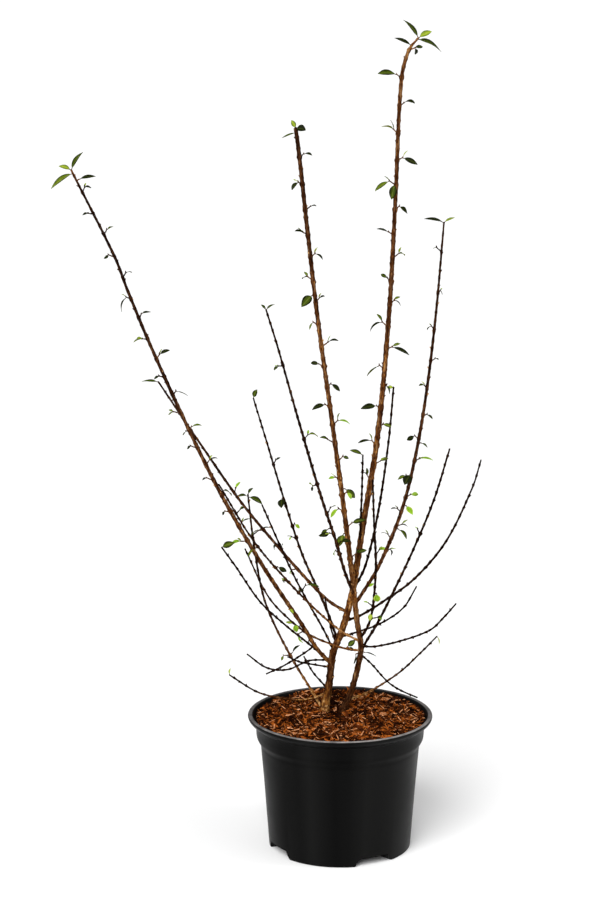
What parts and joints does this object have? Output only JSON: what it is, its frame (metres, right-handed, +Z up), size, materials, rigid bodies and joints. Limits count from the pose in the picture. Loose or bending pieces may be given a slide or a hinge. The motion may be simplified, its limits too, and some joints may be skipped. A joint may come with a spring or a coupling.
{
  "type": "potted cotoneaster shrub",
  "caption": "Young open shrub with long thinly leaved shoots on two stems, in a round plastic nursery pot filled with bark compost.",
  "frame": {"origin": "on the pot's flat underside, on the pot's axis", "axes": "+Z up along the pot's axis, -Y towards the viewer of the picture, +X to the viewer's right"},
  "size_m": [0.501, 0.3289, 1.0012],
  "materials": {
    "pot_plastic": "black moulded plastic, satin, a little dusty",
    "bark_compost": "coarse composted bark with red-brown chips",
    "stem_bark": "smooth orange-brown bark, darker on the young wood",
    "foliage": "small dark green leaves, young ones yellow-green, on purple-brown twigs"
  },
  "bodies": {
    "root": {"bough_left": "stem_bark", "bough_middle": "stem_bark", "bough_right": "stem_bark", "compost": "bark_compost", "leafy_bough_left": "foliage", "leafy_bough_middle": "foliage", "leafy_bough_right": "foliage", "leafy_stem_left": "foliage", "leafy_stem_right": "foliage", "pot": "pot_plastic", "shoot_back_middle": "foliage", "shoot_back_right": "foliage", "shoot_back_tall": "foliage", "shoot_cross_left": "foliage", "shoot_droop_back": "foliage", "shoot_droop_front": "foliage", "shoot_flat_left": "foliage", "shoot_flat_right": "foliage", "shoot_foot_back": "foliage", "shoot_foot_right": "foliage", "shoot_front_left": "foliage", "shoot_front_low": "foliage", "shoot_front_middle": "foliage", "shoot_front_right": "foliage", "shoot_front_tall": "foliage", "shoot_knee_left": "foliage", "shoot_knee_short": "foliage", "shoot_leader_short": "foliage", "shoot_long_right": "foliage", "shoot_low_back": "foliage", "shoot_low_left": "foliage", "shoot_rim_right": "foliage", "stem_left": "stem_bark", "stem_right": "stem_bark"}
  },
  "joints": []
}
